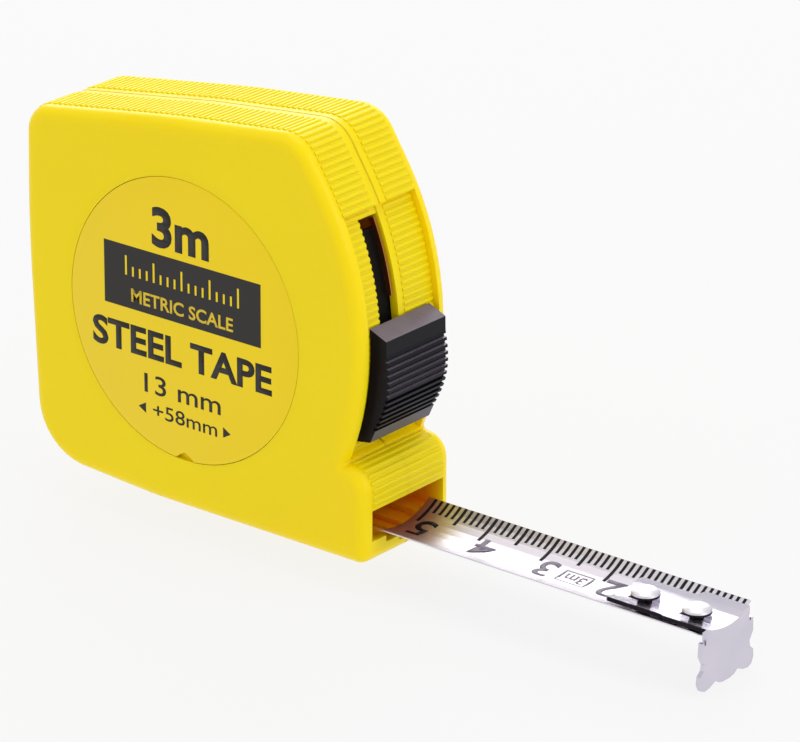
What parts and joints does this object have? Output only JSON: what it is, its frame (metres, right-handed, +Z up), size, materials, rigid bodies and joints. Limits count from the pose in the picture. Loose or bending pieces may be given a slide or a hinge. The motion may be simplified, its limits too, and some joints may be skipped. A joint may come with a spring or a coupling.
{
  "type": "tape measure",
  "caption": "Pocket tape measure with a yellow plastic case, curved steel blade pulled part way out, end hook, slide lock and belt clip.",
  "frame": {"origin": "a point on the flat foot of the case, on the labelled half, 18 mm behind the front of the nose and 2 mm from the parting plane", "axes": "+X is the way the blade pulls out, -Y is the labelled face, +Z is up"},
  "size_m": [0.1084, 0.0239, 0.0593],
  "materials": {
    "yellow_plastic": "moulded gloss",
    "label_plastic": "printed gloss",
    "black_plastic": "moulded satin",
    "reel_plastic": "moulded matte",
    "blade_steel": "bright rolled",
    "nickel": "nickel plated",
    "spring_steel": "blued",
    "bronze": "bare bronze",
    "brake_rubber": "matte"
  },
  "bodies": {
    "case": {"case_left": "yellow_plastic", "case_right": "yellow_plastic", "label_disc": "label_plastic", "case_screw_1": "nickel", "case_screw_2": "nickel", "case_screw_3": "nickel", "case_screw_4": "nickel", "belt_clip": "nickel", "clip_screw": "nickel", "centre_post": "reel_plastic", "blade_feed": "blade_steel", "lock_leaf": "bronze"},
    "reel": {"reel_drum": "reel_plastic", "reel_disc_left": "reel_plastic", "reel_disc_right": "reel_plastic", "blade_coil": "blade_steel", "power_spring": "spring_steel"},
    "blade": {"blade": "blade_steel", "hook_rivet_1": "nickel", "hook_rivet_2": "nickel"},
    "hook": {"end_hook": "nickel"},
    "lock": {"lock_button": "black_plastic", "lock_slider": "black_plastic", "brake_pad": "brake_rubber"}
  },
  "joints": [
    {"name": "reel_spin", "type": "hinge", "parent": "case", "child": "reel", "pos_m": [-0.01224, 0.002, 0.02642], "axis": [0, 1, 0], "range_deg": [-3, 156]},
    {"name": "blade_pull", "type": "slide", "parent": "case", "child": "blade", "axis": [1, 0, 0], "range_m": [-0.0488, 0.001]},
    {"name": "hook_play", "type": "slide", "parent": "blade", "child": "hook", "axis": [1, 0, 0], "range_m": [0, 0.0008]},
    {"name": "lock_slide", "type": "hinge", "parent": "case", "child": "lock", "pos_m": [-0.02113, 0.002, 0.02858], "axis": [0, -1, 0], "range_deg": [0, 21]}
  ],
  "couplings": [
    {"joint": "blade_pull", "follows": "reel_spin", "m_per_rad": -0.0179}
  ]
}
